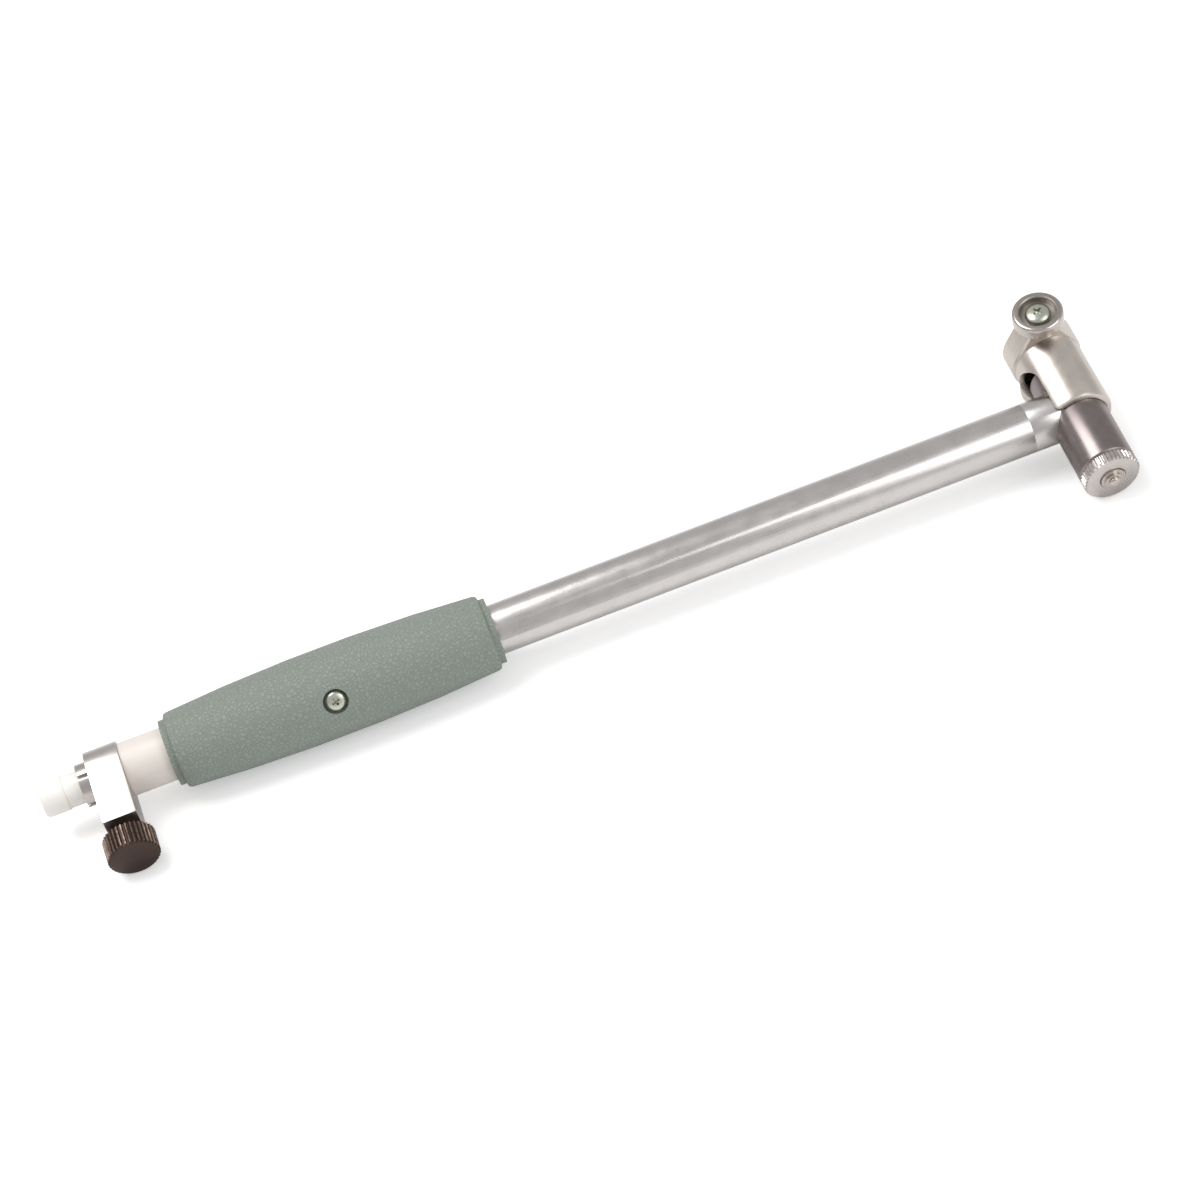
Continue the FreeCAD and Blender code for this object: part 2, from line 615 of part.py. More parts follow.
def lay_down(pieces):
    """Turn the gauge as it lies on the bench, with the origin under its middle."""
    turn = rest_turn()
    for shape in pieces.values():
        shape.Placement = FreeCAD.Placement(FreeCAD.Vector(), turn).multiply(shape.Placement)
    box = Part.makeCompound(list(pieces.values())).optimalBoundingBox(True, False)
    to_origin = FreeCAD.Vector(-box.Center.x, -box.Center.y, -box.ZMin)
    for shape in pieces.values():
        shape.translate(to_origin)
    print("moved by", [round(value, 4) for value in to_origin])
    print("size", [round(value, 3) for value in (box.XLength, box.YLength, box.ZLength)])


def main():
    os.makedirs("parts", exist_ok=True)
    pieces = build_pieces()
    lay_down(pieces)
    for name, shape in pieces.items():
        solids = shape.Solids
        print(name, "solids", len(solids), "valid", shape.isValid(), "volume", round(shape.Volume, 2))
        kept = solids[0] if len(solids) == 1 else Part.makeCompound(solids)
        kept.exportStep("parts/" + name + ".step")


main()
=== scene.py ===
import math

import bmesh
import bpy
from bpy.props import FloatProperty, FloatVectorProperty, IntProperty, PointerProperty
from mathutils import Matrix, Vector


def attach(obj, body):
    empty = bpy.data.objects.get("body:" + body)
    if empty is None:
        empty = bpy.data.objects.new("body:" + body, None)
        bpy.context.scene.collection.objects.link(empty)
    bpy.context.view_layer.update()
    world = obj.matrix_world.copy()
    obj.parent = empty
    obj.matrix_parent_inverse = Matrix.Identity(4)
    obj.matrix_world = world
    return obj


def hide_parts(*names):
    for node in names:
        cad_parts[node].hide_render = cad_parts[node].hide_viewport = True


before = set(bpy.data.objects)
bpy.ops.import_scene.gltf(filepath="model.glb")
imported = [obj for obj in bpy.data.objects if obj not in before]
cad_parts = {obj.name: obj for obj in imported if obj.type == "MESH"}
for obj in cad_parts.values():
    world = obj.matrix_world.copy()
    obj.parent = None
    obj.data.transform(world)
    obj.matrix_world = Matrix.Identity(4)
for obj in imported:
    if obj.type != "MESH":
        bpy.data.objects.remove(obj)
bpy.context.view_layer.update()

bl_info = {
    "name": "Dial Bore Gauge",
    "version": (1, 0, 0),
    "blender": (4, 5, 0),
    "location": "View3D > Sidebar > Bore Gauge",
    "description": "Finishes a bore gauge on its bench: steel head, tube, moulded grip and clamp",
    "category": "Add Mesh",
}

# How the gauge lies. Its own axes are X from the handle to the head, Y from the anvil to the
# moving contact and Z along the wheels' axles, in millimetres from the middle of the head.
ROLL = math.radians(12.2486)
PITCH = math.radians(-0.0543)
HEAD_CENTRE = Vector((124.1533, -1.7182, 11.4422))
GAUGE_TURN = Matrix.Rotation(PITCH, 4, "Y") @ Matrix.Rotation(ROLL, 4, "X")
GAUGE = Matrix.Scale(0.001, 4) @ Matrix.Translation(HEAD_CENTRE) @ GAUGE_TURN
TO_HEAD = Vector((1, 0, 0))
TO_HANDLE = Vector((-1, 0, 0))
TO_CONTACT = Vector((0, 1, 0))
TO_ANVIL = Vector((0, -1, 0))
TO_NEAR = Vector((0, 0, 1))
TO_FAR = Vector((0, 0, -1))
GRIP_MIDDLE = 185.55
RING_MIDDLE = 240.4
SCREW_LEAN = math.radians(39.3)
GRIP_SCREW_WAY = Vector((0, -math.cos(SCREW_LEAN), math.sin(SCREW_LEAN)))
WHEEL_MIDDLE = Vector((0, 20, 0))
ON_GRIP = Vector((-GRIP_MIDDLE, 0, 0))
ON_RING = Vector((-RING_MIDDLE, 0, 0))

# Rounding of the edges of the pieces that follow a node of the frame
FINE_EDGE = 0.12
CAST_EDGE = 0.22
NECK_EDGE = 0.15
RING_EDGE = 0.35
COLLET_EDGE = 0.1

# Wheels, from the middle of the head out along their axle
WHEEL_INNER = 11.2
WHEEL_OUTER = 14.9
WHEEL_R = 6.1
WHEEL_BORE_R = 2.25
RIM_STEPS = 6

# Screws: places and radii of their shanks, and a pan head as shares of its height and radius
SCREW_ROOT_R = 1.25
SCREW_R = 1.5
WHEEL_SCREW_START = 6.0
WHEEL_SCREW_SHANK = [(11.0, SCREW_R), (11.0, 2.2), (13.0, 2.2)]
GRIP_SCREW_START = 4.6
GRIP_SCREW_SHANK = [(8.65, SCREW_R)]
PAN_HEAD = [(0.0, 0.93), (0.08, 1.0), (0.42, 1.0), (0.6, 0.95), (0.8, 0.82), (0.93, 0.62), (1.0, 0.35),
            (1.0, 0)]
SCREW_STEPS = 64
CROSS_REACH = 0.56
CROSS_WIDTH = 0.24
CROSS_TAPER = (0.45, 0.7, 1)

# Nut and knob
NUT_START = 19.3
NUT_FACE = 22.15
NUT_R = 6.9
NUT_BORE_R = 3.05
KNOB_BASE = 18.1
KNOB_FACE = 24.3
KNOB_R = 6.2
KNOB_HUB_START = 16.6
KNOB_HUB_R = 3.6
KNOB_SHANK_R = 1.95

# Camera, in the gauge's own axes
CAMERA_PLACE = Vector((-168.9, -495.8, 662.6))
CAMERA_RIGHT = Vector((0.9335, -0.3171, -0.1674))
CAMERA_UP = Vector((0.3537, 0.7377, 0.5750))
CAMERA_AHEAD = Vector((0.0588, 0.5960, -0.8008))
CAMERA_LENS = 106.95


def size(name, text, default, low, high):
    """A length that a user may change, in millimetres."""
    return FloatProperty(name=name, description=text, default=default, min=low, max=high)


def count(name, text, default, low, high):
    """A number of copies or steps that a user may change."""
    return IntProperty(name=name, description=text, default=default, min=low, max=high)


def colour(name, text, value):
    """A colour that a user may change, given as sRGB from 0 to 255."""
    linear = [((part / 255 + 0.055) / 1.055) ** 2.4 for part in value]
    return FloatVectorProperty(name=name, description=text, subtype="COLOR", size=3, min=0.0, max=1.0,
                               default=linear)


class BoreGaugeSizes(bpy.types.PropertyGroup):
    """Lengths of the finished pieces that the frame doesn't fix."""
    grip_round: size("Grip Rounding", "Radius on the edges of the moulded grip", 0.3, 0.05, 0.8)
    wheel_rim: size("Wheel Rim", "Radius on the rim of a centring wheel", 0.8, 0.2, 1.5)
    knurl_depth: size("Knurl Depth", "Depth of the grooves of the knob and the nut", 0.45, 0.1, 0.8)
    recess_depth: size("Cross Recess", "Depth of the cross recess in a screw head", 0.9, 0.2, 1.5)
    knob_teeth: count("Knob Teeth", "Ridges round the clamp knob", 35, 8, 80)
    nut_teeth: count("Nut Teeth", "Ridges round the anvil nut", 39, 8, 80)
    turning_steps: count("Turning Steps", "Flats round a turned piece", 96, 24, 256)


class BoreGaugeColours(bpy.types.PropertyGroup):
    """Base colours of the finishes."""
    tube: colour("Tube", "Satin steel of the tube", (212, 208, 206))
    bridge: colour("Bridge", "Warm satin nickel of the bridge", (214, 206, 198))
    head: colour("Head", "Dark ground steel of the head", (150, 140, 138))
    polished: colour("Polished Steel", "Hardened and polished pieces", (202, 194, 187))
    bright: colour("Turned Steel", "Nut, clamp ring and other turned pieces", (208, 201, 197))
    zinc: colour("Zinc", "Plated screws", (205, 208, 194))
    grip: colour("Grip", "Grey-green moulded plastic", (144, 153, 144))
    neck: colour("Neck", "Off-white plastic of the neck", (231, 223, 216))
    plug: colour("Plug", "Milky plastic of the plug", (249, 244, 238))
    browned: colour("Browned Steel", "Dark finish of the clamp knob", (72, 58, 53))
    bronze: colour("Bronze", "Pad of the clamp screw", (178, 138, 88))


def sizes():
    """The lengths that are set in this file."""
    return bpy.context.scene.bore_gauge_sizes


def colours():
    """The colours that are set in this file."""
    return bpy.context.scene.bore_gauge_colours


# ---------------------------------------------------------------- materials

class Value:
    """A node's output, with Python's operators for its maths."""

    def __init__(self, finish, socket):
        self.finish = finish
        self.socket = socket

    def math(self, operation, *values):
        return self.finish.node("ShaderNodeMath", {"operation": operation}, *values)

    def __add__(self, other):
        return self.math("ADD", self, other)

    def __sub__(self, other):
        return self.math("SUBTRACT", self, other)

    def __rsub__(self, other):
        return self.math("SUBTRACT", other, self)

    def __mul__(self, other):
        return self.math("MULTIPLY", self, other)

    def __truediv__(self, other):
        return self.math("DIVIDE", self, other)

    __radd__ = __add__

    def clamped(self):
        """This value kept between 0 and 1."""
        return self.math("MINIMUM", self.math("MAXIMUM", self, 0.0), 1.0)

    def between(self, low, high):
        """0 at low, 1 at high and even in between."""
        return ((self - low) / (high - low)).clamped()


class Finish:
    """A material and the nodes that make it."""

    def __init__(self, name):
        self.material = bpy.data.materials.new(name)
        self.material.use_nodes = True
        self.tree = self.material.node_tree
        self.shader = self.tree.nodes["Principled BSDF"]

    def node(self, kind, settings, *values, output=0, **named):
        """Add a node with its settings, then give its sockets values or links."""
        node = self.tree.nodes.new(kind)
        for key, value in settings.items():
            setattr(node, key, value)
        for key, value in list(enumerate(values)) + list(named.items()):
            target = node.inputs[key.replace("_", " ") if isinstance(key, str) else key]
            if isinstance(value, Value):
                self.tree.links.new(value.socket, target)
            else:
                target.default_value = value
        return Value(self, node.outputs[output])

    def set(self, **named):
        """Give the shader's sockets values or links."""
        for key, value in named.items():
            target = self.shader.inputs[key.replace("_", " ")]
            if isinstance(value, Value):
                self.tree.links.new(value.socket, target)
            else:
                target.default_value = value

    def place(self):
        """The point in the gauge's own axes, in millimetres."""
        point = self.node("ShaderNodeTexCoord", {}, output="Object")
        return self.node("ShaderNodeMapping", {"vector_type": "TEXTURE"}, point,
                         Location=HEAD_CENTRE * 0.001, Rotation=GAUGE_TURN.to_euler(),
                         Scale=(0.001, 0.001, 0.001))

    def stretched(self, point, scale, centre=(0, 0, 0)):
        """A point scaled on each axis about a centre."""
        moved = self.node("ShaderNodeVectorMath", {"operation": "SUBTRACT"}, point, centre)
        return self.node("ShaderNodeVectorMath", {"operation": "MULTIPLY"}, moved, scale)

    def noise(self, point, scale, detail=3.0, roughness=0.5):
        """Cloudy noise, about 1 / scale millimetres across."""
        return self.node("ShaderNodeTexNoise", {}, Vector=point, Scale=scale, Detail=detail,
                         Roughness=roughness)

    def rings(self, reach, scale, detail):
        """Noise that changes only with the distance from an axis."""
        return self.node("ShaderNodeTexNoise", {"noise_dimensions": "1D"}, W=reach, Scale=scale,
                         Detail=detail)

    def cells(self, point, scale):
        """The distance to the edge of the nearest cell."""
        return self.node("ShaderNodeTexVoronoi", {"feature": "DISTANCE_TO_EDGE"}, Vector=point, Scale=scale)

    def mix(self, share, first, second):
        """A colour between two."""
        node = self.tree.nodes.new("ShaderNodeMix")
        node.data_type = "RGBA"
        for socket, value in ((node.inputs[0], share), (node.inputs[6], first), (node.inputs[7], second)):
            if isinstance(value, Value):
                self.tree.links.new(value.socket, socket)
            elif isinstance(value, float):
                socket.default_value = value
            else:
                socket.default_value = (*value, 1.0)
        return Value(self, node.outputs[2])

    def bump(self, height, strength, distance):
        """A surface normal from a height, with its depth in millimetres."""
        return self.node("ShaderNodeBump", {}, Strength=strength, Distance=distance * 0.001, Height=height)

    def off_axis(self, point, axis, centre=(0, 0, 0)):
        """The distance from an axis through a centre."""
        scale = [0 if abs(part) > 0.5 else 1 for part in axis]
        across = self.stretched(point, scale, centre)
        return self.node("ShaderNodeVectorMath", {"operation": "LENGTH"}, across, output="Value")


def shade(base, factor):
    """A colour made darker or lighter."""
    return [min(1.0, part * factor) for part in base]


def drawn_steel(name, base, roughness, axis, grain=0.04):
    """Ground or drawn metal: fine lines round or along its axis, with faint cloudiness."""
    finish = Finish(name)
    point = finish.place()
    scale = [0.25 if abs(part) > 0.5 else 6.0 for part in axis]
    lines = finish.noise(finish.stretched(point, scale), 1.0, 4.0, 0.6)
    clouds = finish.noise(point, 0.22, 3.0, 0.55)
    tone = (lines * 0.5 + clouds * 0.5).between(0.3, 0.7)
    finish.set(Base_Color=finish.mix(tone, shade(base, 0.9), shade(base, 1.06)), Metallic=1.0,
               Roughness=(roughness - 0.06) + tone * 0.12, Normal=finish.bump(lines, 0.25, grain))
    return finish.material


def turned_steel(name, base, roughness, axis, centre=(0, 0, 0)):
    """Metal turned on a lathe: fine rings about its axis."""
    finish = Finish(name)
    point = finish.place()
    reach = finish.off_axis(point, axis, centre)
    rings = finish.rings(reach, 7.0, 3.0)
    clouds = finish.noise(point, 0.5, 3.0)
    tone = (rings * 0.6 + clouds * 0.4).between(0.32, 0.68)
    finish.set(Base_Color=finish.mix(tone, shade(base, 0.86), shade(base, 1.05)), Metallic=1.0,
               Roughness=(roughness - 0.05) + tone * 0.12, Normal=finish.bump(rings, 0.3, 0.05))
    return finish.material


def blasted_nickel(name, base, roughness):
    """Bead-blasted plating: an even, very fine grain."""
    finish = Finish(name)
    point = finish.place()
    grain = finish.noise(point, 5.0, 3.0, 0.65)
    clouds = finish.noise(point, 0.3, 2.0)
    tone = (grain * 0.4 + clouds * 0.6).between(0.35, 0.65)
    finish.set(Base_Color=finish.mix(tone, shade(base, 0.93), shade(base, 1.04)), Metallic=1.0,
               Roughness=(roughness - 0.04) + tone * 0.09, Normal=finish.bump(grain, 0.3, 0.03))
    return finish.material


def leather_plastic(name, base):
    """Moulded plastic with a fine leather grain."""
    finish = Finish(name)
    point = finish.place()
    drift = finish.noise(point, 0.9, 2.0)
    shift = finish.node("ShaderNodeTexNoise", {}, Vector=point, Scale=0.8, output="Color")
    shift = finish.node("ShaderNodeVectorMath", {"operation": "SCALE"}, shift, Scale=0.9)
    warped = finish.node("ShaderNodeVectorMath", {"operation": "ADD"}, point, shift)
    creases = finish.cells(warped, 1.05).between(0.02, 0.3)
    fine = finish.cells(warped, 2.3).between(0.0, 0.35)
    pebble = creases * 0.75 + fine * 0.25
    grain = pebble * 1.0 + finish.noise(point, 6.0, 2.0) * 0.15
    # The colour is lighter on the pebble tops as a painted highlight and darker in the creases between them
    # as painted shade, with a random drift on top.
    tone = (pebble * 0.7 + drift * 0.3).clamped()
    finish.set(Base_Color=finish.mix(tone, shade(base, 0.72), shade(base, 1.1)),
               Roughness=0.62 - pebble * 0.14, Normal=finish.bump(grain, 0.8, 0.16))
    return finish.material


def smooth_plastic(name, base, roughness, glow=0.0):
    """Smooth moulded plastic with a faint flow in its tone."""
    finish = Finish(name)
    point = finish.place()
    flow = finish.noise(finish.stretched(point, (0.12, 0.5, 0.5)), 1.0, 3.0)
    fine = finish.noise(point, 3.0, 2.0)
    finish.set(Base_Color=finish.mix(flow.between(0.3, 0.7), shade(base, 0.96), shade(base, 1.02)),
               Roughness=roughness + (fine - 0.5) * 0.08, Normal=finish.bump(fine, 0.15, 0.03))
    finish.set(Subsurface_Weight=glow, Subsurface_Radius=(0.004, 0.0035, 0.003))
    return finish.material


def browned_knob(name, base):
    """Browned steel, rubbed back to metal on its ridges."""
    finish = Finish(name)
    point = finish.place()
    reach = finish.off_axis(point, TO_ANVIL, ON_RING)
    blotch = finish.noise(point, 1.4, 4.0, 0.65)
    ridge = reach.between(5.95, 6.2) * blotch.between(0.3, 0.6)
    rings = finish.rings(reach, 5.0, 2.0)
    tone = finish.mix((rings * 0.5 + blotch * 0.5).between(0.35, 0.65), shade(base, 0.8), shade(base, 1.3))
    worn = finish.mix((ridge * 0.75).clamped(), tone, (0.36, 0.26, 0.2))
    finish.set(Base_Color=worn, Metallic=0.85, Roughness=0.42 - ridge * 0.12,
               Normal=finish.bump(rings, 0.2, 0.05))
    return finish.material


# ---------------------------------------------------------------- meshes

def aim(direction, centre=(0, 0, 0)):
    """The matrix that turns Z to a direction and moves the origin to a centre."""
    turn = Vector((0, 0, 1)).rotation_difference(Vector(direction))
    return Matrix.Translation(Vector(centre)) @ turn.to_matrix().to_4x4()


def cleaned(mesh_work):
    """Merge doubles and point the faces outwards."""
    bmesh.ops.remove_doubles(mesh_work, verts=mesh_work.verts, dist=1e-4)
    bmesh.ops.recalc_face_normals(mesh_work, faces=mesh_work.faces)
    return mesh_work


def eased(mesh_work, radius, angle, segments):
    """Round the edges that are sharper than an angle in degrees."""
    sharp = [edge for edge in mesh_work.edges
             if len(edge.link_faces) == 2 and edge.calc_face_angle(0) > math.radians(angle)]
    bmesh.ops.bevel(mesh_work, geom=sharp, offset=radius, offset_type="OFFSET", segments=segments,
                    profile=0.5, affect="EDGES", clamp_overlap=True, material=-1)
    return mesh_work


def turned(outline, direction, centre=(0, 0, 0), steps=None, closed=False):
    """Spin an outline of places along an axis and radii into a turned piece."""
    work = bmesh.new()
    points = [work.verts.new((radius, 0, along)) for along, radius in outline]
    ends = points[1:] + points[:1] if closed else points[1:]
    lines = [work.edges.new(pair) for pair in zip(points, ends)]
    bmesh.ops.spin(work, geom=points + lines, cent=(0, 0, 0), axis=(0, 0, 1), angle=2 * math.pi,
                   steps=steps or sizes().turning_steps, use_merge=True, use_duplicate=False)
    cleaned(work)
    work.transform(aim(direction, centre))
    return work


def knurled(outline, radius, teeth, direction, centre=(0, 0, 0), closed=False):
    """A turned piece whose outside carries straight ridges: two steps high, then two low."""
    work = turned(outline, (0, 0, 1), steps=4 * teeth, closed=closed)
    floor = radius - sizes().knurl_depth
    for vert in work.verts:
        reach = math.hypot(vert.co.x, vert.co.y)
        step = round(math.atan2(vert.co.y, vert.co.x) / (2 * math.pi) * 4 * teeth) % 4
        if reach > floor and step in (2, 3):
            vert.co.x *= floor / reach
            vert.co.y *= floor / reach
    cleaned(work)
    work.transform(aim(direction, centre))
    return work


def node_copy(node, edge, angle=28, segments=2):
    """A merged copy of a frame node, in the gauge's own axes, with its edges rounded."""
    work = bmesh.new()
    work.from_mesh(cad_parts[node].data)
    work.transform(GAUGE.inverted())
    bmesh.ops.remove_doubles(work, verts=work.verts, dist=0.002)
    bmesh.ops.dissolve_degenerate(work, dist=0.002, edges=work.edges)
    bmesh.ops.dissolve_limit(work, angle_limit=math.radians(0.6), verts=work.verts, edges=work.edges,
                             use_dissolve_boundaries=False, delimit=set())
    eased(work, edge, angle, segments)
    return work


def cut(work, tool):
    """Cut one mesh out of another."""
    parts = []
    for name, source in (("blank", work), ("tool", tool)):
        mesh = bpy.data.meshes.new(name)
        bmesh.ops.recalc_face_normals(source, faces=source.faces)
        source.to_mesh(mesh)
        source.free()
        part = bpy.data.objects.new(name, mesh)
        bpy.context.scene.collection.objects.link(part)
        parts.append(part)
    blank, cutter = parts
    modifier = blank.modifiers.new("cut", "BOOLEAN")
    modifier.operation = "DIFFERENCE"
    modifier.solver = "EXACT"
    modifier.use_self = True
    modifier.object = cutter
    bpy.context.view_layer.update()
    result = blank.evaluated_get(bpy.context.evaluated_depsgraph_get())
    done = bmesh.new()
    done.from_mesh(result.to_mesh())
    result.to_mesh_clear()
    for part in parts:
        bpy.data.meshes.remove(part.data)
    return done


def cross_tool(reach, width, depth, direction, seat, centre, turn):
    """The cutter for a cross recess: two tapering bars that cross."""
    work = bmesh.new()
    for angle in (0, math.pi / 2):
        bar = bmesh.ops.create_cube(work, size=1.0)["verts"]
        bmesh.ops.scale(work, vec=(2 * reach, width, depth * 2), verts=bar)
        low = [vert for vert in bar if vert.co.z < 0]
        bmesh.ops.scale(work, vec=CROSS_TAPER, verts=low)
        spun = Matrix.Rotation(angle + turn, 3, "Z")
        bmesh.ops.rotate(work, cent=(0, 0, 0), matrix=spun, verts=bar)
    work.transform(aim(direction, centre) @ Matrix.Translation((0, 0, seat)))
    return work


def finished(work, name, body, node, material, crease=35):
    """Make a piece from its mesh, lay it on the bench and join it to its body."""
    work.transform(GAUGE)
    mesh = bpy.data.meshes.new(name)
    work.to_mesh(mesh)
    work.free()
    mesh.shade_smooth()
    mesh.set_sharp_from_angle(angle=math.radians(crease))
    mesh.materials.append(material)
    piece = bpy.data.objects.new(name, mesh)
    bpy.context.scene.collection.objects.link(piece)
    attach(piece, body)
    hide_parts(node)
    return piece


def dress(node, material):
    """Give a frame node that stays its material."""
    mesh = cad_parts[node].data
    for index in range(max(1, len(mesh.materials))):
        if index < len(mesh.materials):
            mesh.materials[index] = material
        else:
            mesh.materials.append(material)


# ---------------------------------------------------------------- pieces

class Piece(bpy.types.Operator):
    """Base of the operators that make pieces."""
    bl_options = {"REGISTER", "UNDO"}


class GAUGE_OT_head(Piece):
    """The steel head that everything at the measuring end is fixed to"""
    bl_idname = "gauge.head"
    bl_label = "Head"

    def execute(self, context):
        steel = turned_steel("head_steel", colours().head, 0.32, TO_ANVIL)
        work = node_copy("head_body", FINE_EDGE)
        finished(work, "head_cylinder", "frame", "head_body", steel)
        return {"FINISHED"}


class GAUGE_OT_tube(Piece):
    """The long tube and the collar that joins it to the head"""
    bl_idname = "gauge.tube"
    bl_label = "Tube and Collar"

    def execute(self, context):
        satin = drawn_steel("satin_steel", colours().tube, 0.3, TO_HEAD)
        for node, name in (("tube_collar", "saddle_collar"), ("stem_tube", "long_tube")):
            finished(node_copy(node, FINE_EDGE), name, "frame", node, satin)
        return {"FINISHED"}


class GAUGE_OT_bridge(Piece):
    """The centring bridge that slides on the head"""
    bl_idname = "gauge.bridge"
    bl_label = "Centring Bridge"

    def execute(self, context):
        nickel = blasted_nickel("satin_nickel", colours().bridge, 0.34)
        work = node_copy("centering_bridge", CAST_EDGE, segments=3)
        finished(work, "bridge_casting", "bridge", "centering_bridge", nickel)
        dress("bridge_stop", turned_steel("stop_steel", colours().head, 0.35, TO_FAR, (0, 8, 0)))
        return {"FINISHED"}


class GAUGE_OT_wheels(Piece):
    """The two centring wheels"""
    bl_idname = "gauge.wheels"
    bl_label = "Wheels"

    def execute(self, context):
        for name, way in (("near", TO_NEAR), ("far", TO_FAR)):
            steel = wheel_steel("wheel_steel_" + name)
            work = turned(self.outline(), way, WHEEL_MIDDLE, closed=True)
            finished(work, "centring_wheel_" + name, name + "_wheel", "wheel_" + name, steel,
                     crease=30)
        return {"FINISHED"}

    def outline(self):
        """The wheel's outline, round its rim and into the recess for its screw."""
        rim = sizes().wheel_rim
        quarter = [math.pi / 2 * step / RIM_STEPS for step in range(RIM_STEPS + 1)]
        bend = [(rim * (1 - math.cos(turn)), WHEEL_R - rim * (1 - math.sin(turn))) for turn in quarter]
        outline = [(WHEEL_INNER, WHEEL_BORE_R)]
        outline += [(WHEEL_INNER + inset, radius) for inset, radius in bend]
        outline += [(WHEEL_OUTER - inset, radius) for inset, radius in reversed(bend)]
        outline += [(WHEEL_OUTER, 4.62), (14.83, 4.5), (14.6, 4.32), (12.95, 4.3), (12.9, 4.25)]
        return outline + [(12.9, WHEEL_BORE_R)]


def wheel_steel(name):
    """Polished rim, with a darker ring-turned face."""
    finish = Finish(name)
    base = colours().polished
    point = finish.place()
    reach = finish.off_axis(point, TO_NEAR, WHEEL_MIDDLE)
    rings = finish.rings(reach, 6.0, 3.0)
    speck = finish.noise(point, 2.5, 4.0, 0.6)
    face = 1.0 - reach.between(5.2, 5.75)
    tone = (rings * 0.6 + speck * 0.4).between(0.35, 0.65)
    ground = finish.mix(tone, shade(base, 0.55), shade(base, 0.75))
    polished = finish.mix(speck.between(0.35, 0.65), shade(base, 0.95), shade(base, 1.05))
    finish.set(Base_Color=finish.mix(face, polished, ground), Metallic=1.0,
               Roughness=0.16 + face * 0.2 + speck * 0.05, Normal=finish.bump(rings * face, 0.3, 0.05))
    return finish.material


class GAUGE_OT_screws(Piece):
    """The cross-head screws of the wheels and of the grip"""
    bl_idname = "gauge.screws"
    bl_label = "Screws"

    def execute(self, context):
        for name, way, turn in (("near", TO_NEAR, 0.5), ("far", TO_FAR, 0.2)):
            self.screw("wheel_screw_" + name, "bridge", WHEEL_SCREW_START, WHEEL_SCREW_SHANK, 3.05, 1.8,
                       way, WHEEL_MIDDLE, turn)
        for name, way, turn in (("front", GRIP_SCREW_WAY, 0.35), ("back", -GRIP_SCREW_WAY, 0.9)):
            self.screw("grip_screw_" + name, "frame", GRIP_SCREW_START, GRIP_SCREW_SHANK, 2.5, 1.7,
                       way, ON_GRIP, turn)
        return {"FINISHED"}

    def screw(self, node, body, start, shank, radius, height, way, centre, turn):
        """One pan-head screw, from the end of its thread to the top of its head."""
        zinc = turned_steel("zinc_" + node, colours().zinc, 0.3, way, centre)
        seat = shank[-1][0]
        outline = [(start, 0), (start, SCREW_ROOT_R), (start + 0.3, SCREW_R)] + shank
        outline += [(seat + height * rise, radius * reach) for rise, reach in PAN_HEAD]
        work = turned(outline, way, centre, steps=SCREW_STEPS)
        tool = cross_tool(radius * CROSS_REACH, radius * CROSS_WIDTH, sizes().recess_depth, way,
                          seat + height, centre, turn)
        finished(cut(work, tool), "cross_" + node, body, node, zinc, crease=32)


class GAUGE_OT_anvil(Piece):
    """The stepped anvil and its knurled nut"""
    bl_idname = "gauge.anvil"
    bl_label = "Anvil and Nut"

    def execute(self, context):
        steel = turned_steel("anvil_steel", colours().polished, 0.22, TO_ANVIL)
        outline = [(8.85, 0), (8.85, 3.0), (22.55, 3.0), (22.65, 2.9), (22.65, 2.2), (23.05, 2.2),
                   (23.15, 2.1), (23.15, 1.4), (23.4, 1.4), (23.6, 1.34), (23.8, 1.18), (23.93, 0.95),
                   (24.0, 0.6), (24.0, 0)]
        finished(turned(outline, TO_ANVIL), "stepped_anvil", "frame", "anvil", steel)
        self.nut()
        return {"FINISHED"}

    def nut(self):
        """The lock nut, with its knurl and chamfers."""
        floor = NUT_R - sizes().knurl_depth
        outline = [(NUT_START, NUT_BORE_R), (NUT_START, floor), (NUT_START + 0.35, NUT_R),
                   (NUT_FACE - 0.45, NUT_R), (NUT_FACE - 0.05, floor - 0.05), (NUT_FACE, floor - 0.2),
                   (NUT_FACE, 3.3), (NUT_FACE - 0.2, NUT_BORE_R)]
        work = knurled(outline, NUT_R, sizes().nut_teeth, TO_ANVIL, closed=True)
        bright = turned_steel("nut_steel", colours().bright, 0.3, TO_ANVIL)
        finished(work, "knurled_nut", "nut", "anvil_nut", bright, crease=25)


class GAUGE_OT_contact(Piece):
    """The moving contact, its guide and the linkage inside the head"""
    bl_idname = "gauge.contact"
    bl_label = "Contact and Linkage"

    def execute(self, context):
        steel = turned_steel("contact_steel", colours().polished, 0.2, TO_CONTACT)
        carbide = turned_steel("carbide", colours().head, 0.18, TO_CONTACT)
        outline = [(6.7, 0), (6.7, 2.6), (7.7, 2.6), (7.7, 2.0), (23.9, 2.0), (24.0, 1.9), (24.0, 0)]
        work = turned(outline, TO_CONTACT)
        finished(work, "plunger", "contact", "contact_plunger", steel)
        outline = [(24.0, 0), (24.0, 1.8), (25.4, 1.8), (25.75, 1.73), (26.03, 1.54), (26.22, 1.24),
                   (26.3, 0.9), (26.3, 0)]
        finished(turned(outline, TO_CONTACT), "contact_point", "contact", "contact_tip", carbide)
        guide = turned_steel("guide_steel", colours().bright, 0.28, TO_CONTACT)
        work = node_copy("plunger_guide", FINE_EDGE)
        finished(work, "guide_bush", "frame", "plunger_guide", guide)
        rod = drawn_steel("rod_steel", colours().polished, 0.25, TO_HEAD)
        for node in ("bell_crank", "lever_pin", "push_rod"):
            dress(node, rod)
        wire = drawn_steel("spring_wire", colours().head, 0.35, TO_NEAR)
        for node in ("return_spring", "bridge_spring"):
            dress(node, wire)
        return {"FINISHED"}


